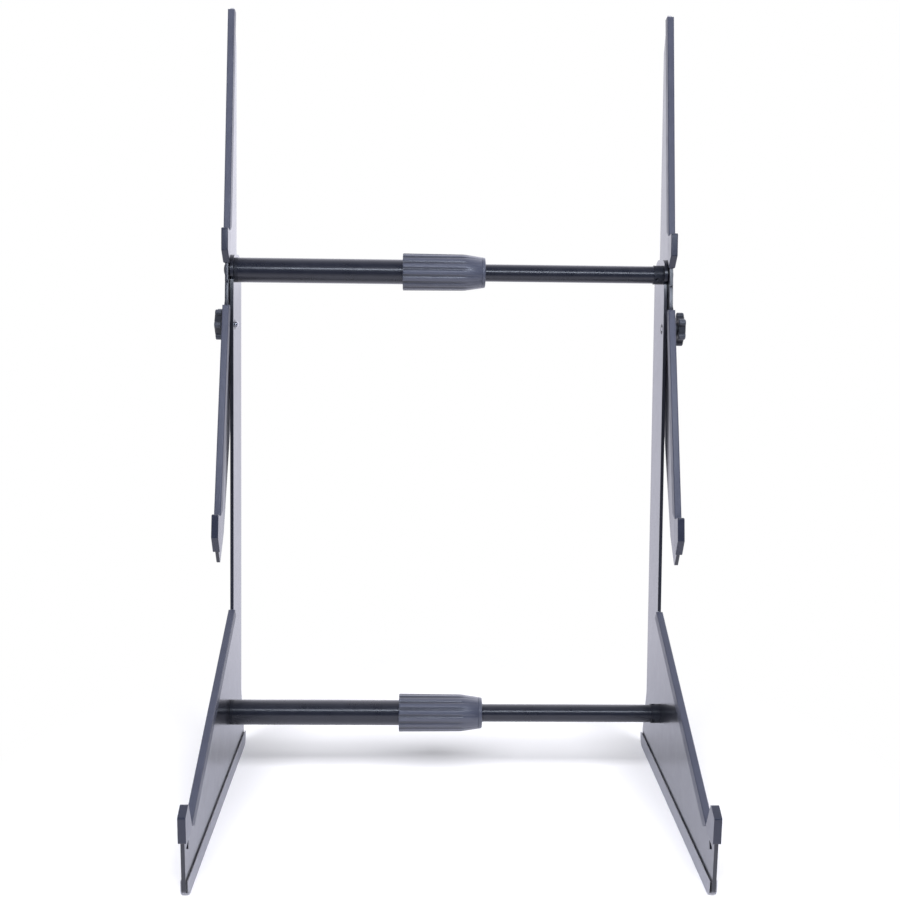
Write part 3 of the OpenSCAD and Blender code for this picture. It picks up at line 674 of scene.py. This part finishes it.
def makeCollars(collar):
    tree = makeTurnedTree("flutedTurning", False, collar["reliefDepth"])
    for nodeName in ("upper_collar", "lower_collar"):
        turnedPiece(nodeName, tree, collarProfile(collar), {
            "Repeat Count": collar["fluteCount"],
            "Steps": collar["fluteSteps"],
            "Turn": math.pi / collar["fluteCount"],
            "Ring Radius": collar["fluteAxis"],
            "Repeat Radius": collar["fluteRadius"],
            "Soft Edge": collar["softEdge"],
            "Material": materials[finishOf(nodeName)],
        })


makeCollars(collarSizes)
print("collars turned")

# Clamp knobs, measured from the plate: a short round hub, a ring of lobes with bevelled rims, and a crowned
# face.
knobSizes = {
    "length": cadLength("left_clamp_knob"),
    "hubRadius": 0.006,
    "hubLength": 0.0022,
    "edgeRadius": 0.0150,
    "bevel": 0.0010,
    "bevelSteps": 6,
    "dome": 0.0009,
    "domeRadius": 0.0118,
    "domeSteps": 12,
    "boreRadius": 0.00245,
    "boreEnd": 0.0064,
    "lobeCount": 6,
    "lobeRing": 0.0118,
    "lobeRadius": 0.0032,
    "lobeSteps": 40,
    "coreRadius": 0.0110,
    "softEdge": 0.0010,
    "leftTurn": 30.0,  # degrees, as the next
    "rightTurn": -2.6,
    # the share of the radius over which shade is painted between the lobes
    "reliefDepth": 0.16,
}


def quarterTurn(steps):
    return [math.pi / 2 * step / steps for step in range(steps + 1)]


def knobProfile(knob):
    edge = knob["edgeRadius"]
    bevel = knob["bevel"]
    bottom = knob["hubLength"]
    top = knob["length"] - knob["dome"]
    points = [
        (knob["boreEnd"], 0, 0),
        (knob["boreEnd"], 0, knob["boreRadius"]),
        (0, 0, knob["boreRadius"]),
        (0, 0, knob["hubRadius"]),
        (bottom, bevel, knob["hubRadius"]),
    ]
    for turn in quarterTurn(knob["bevelSteps"]):
        points.append((bottom + bevel * (1 - math.cos(turn)), bevel * (1 - math.sin(turn)), edge))
    for turn in quarterTurn(knob["bevelSteps"]):
        points.append((top - bevel * (1 - math.sin(turn)), bevel * (1 - math.cos(turn)), edge))
    for turn in reversed(quarterTurn(knob["domeSteps"])):
        points.append((top + knob["dome"] * math.cos(turn), bevel, knob["domeRadius"] * math.sin(turn)))
    return points


def makeKnobs(knob):
    tree = makeTurnedTree("lobedTurning", True, knob["reliefDepth"])
    for nodeName, turn in (("left_clamp_knob", knob["leftTurn"]), ("right_clamp_knob", knob["rightTurn"])):
        turnedPiece(nodeName, tree, knobProfile(knob), {
            "Repeat Count": knob["lobeCount"],
            "Steps": knob["lobeSteps"],
            "Turn": math.radians(turn),
            "Ring Radius": knob["lobeRing"],
            "Repeat Radius": knob["lobeRadius"],
            "Core Radius": knob["coreRadius"],
            "Soft Edge": knob["softEdge"],
            "Material": materials[finishOf(nodeName)],
        }, mirrored=nodeName.startswith("left"))


makeKnobs(knobSizes)
print("knobs turned")

# All other CAD pieces are redrawn with the small radius that paint or moulding gives their edges.
edges = {
    "plate": {"width": 0.00035, "segments": 2},
    "rubber": {"width": 0.0007, "segments": 3},
    "cap": {"width": 0.0010, "segments": 4},
    "foot": {"width": 0.00022, "segments": 2},
    "tube": {"width": 0.0002, "segments": 2},
    "hardware": {"width": 0.0002, "segments": 2},
    "cornerAngle": 38.0,  # degrees: an edge that turns more gets the radius
    "sharpAngle": 46.0,
    "flatAngle": 0.4,
    "mergeDistance": 0.000001,
    "largeFaceWeight": 90,
}
slotEdge = {"powder_coat": "plate", "edge_rubber": "rubber", "foot_rubber": "foot", "tube_coat": "tube"}


def edgeOf(nodeName):
    if nodeName.endswith("lip_cap"):
        return edges["cap"]
    return edges[slotEdge.get(slotOfNode[nodeName], "hardware")]


# Large faces keep their own direction, so only the narrow softened edges shade round.
def keepFlat(piece):
    modifier = piece.modifiers.new("flatNormals", "WEIGHTED_NORMAL")
    modifier.keep_sharp = True
    modifier.weight = edges["largeFaceWeight"]
    applyModifier(piece, modifier)


def softenedPiece(nodeName):
    edge = edgeOf(nodeName)
    mesh = frame["nodes"][nodeName].data.copy()
    shape = bmesh.new()
    shape.from_mesh(mesh)
    bmesh.ops.remove_doubles(shape, verts=shape.verts, dist=edges["mergeDistance"])
    flat = math.radians(edges["flatAngle"])
    bmesh.ops.dissolve_limit(shape, angle_limit=flat, verts=shape.verts, edges=shape.edges)
    corner = math.radians(edges["cornerAngle"])
    inner = [line for line in shape.edges if len(line.link_faces) == 2]
    corners = [line for line in inner if line.calc_face_angle(0) > corner]
    bmesh.ops.bevel(
        shape, geom=corners, offset=edge["width"], offset_type="OFFSET", segments=edge["segments"],
        profile=0.5, affect="EDGES", clamp_overlap=True, loop_slide=True,
    )
    writeSmooth(shape, mesh, edges["sharpAngle"])
    piece = bpy.data.objects.new(nodeName + "_soft", mesh)
    bpy.context.scene.collection.objects.link(piece)
    keepFlat(piece)
    dress(piece, nodeName)
    standFor(piece, nodeName)


for nodeName in sorted(frame["nodes"]):
    if not nodeName.endswith(("_collar", "_clamp_knob")):
        softenedPiece(nodeName)
print("edges softened")
